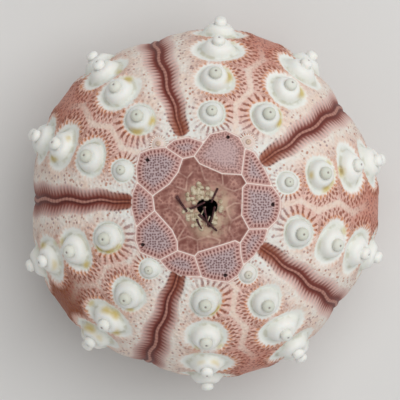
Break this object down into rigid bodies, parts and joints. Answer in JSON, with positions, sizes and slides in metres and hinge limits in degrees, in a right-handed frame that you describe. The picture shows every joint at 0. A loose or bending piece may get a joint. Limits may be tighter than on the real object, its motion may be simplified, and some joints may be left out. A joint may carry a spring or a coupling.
{
  "type": "sea urchin shell",
  "caption": "Empty cidaroid sea urchin test: hollow rounded shell with knobbed tubercles, winding pore bands, apical plates, vent on top and open mouth below.",
  "frame": {"origin": "on the resting plane, under the middle of the outline seen from above", "axes": "+Z up along the axis from mouth to vent; seen from above, +X is right and +Y is up in the picture"},
  "size_m": [0.0541, 0.0563, 0.0334],
  "materials": {
    "calcite": "chalky matte, white knobs on pink and red-brown spotted ground",
    "dark_sliver": "dark, slightly glossy"
  },
  "bodies": {
    "root": {"test": "calcite", "sliver_1": "dark_sliver", "sliver_2": "dark_sliver", "sliver_3": "dark_sliver", "sliver_4": "dark_sliver", "sliver_5": "dark_sliver", "sliver_6": "dark_sliver", "sliver_7": "dark_sliver"}
  },
  "joints": []
}
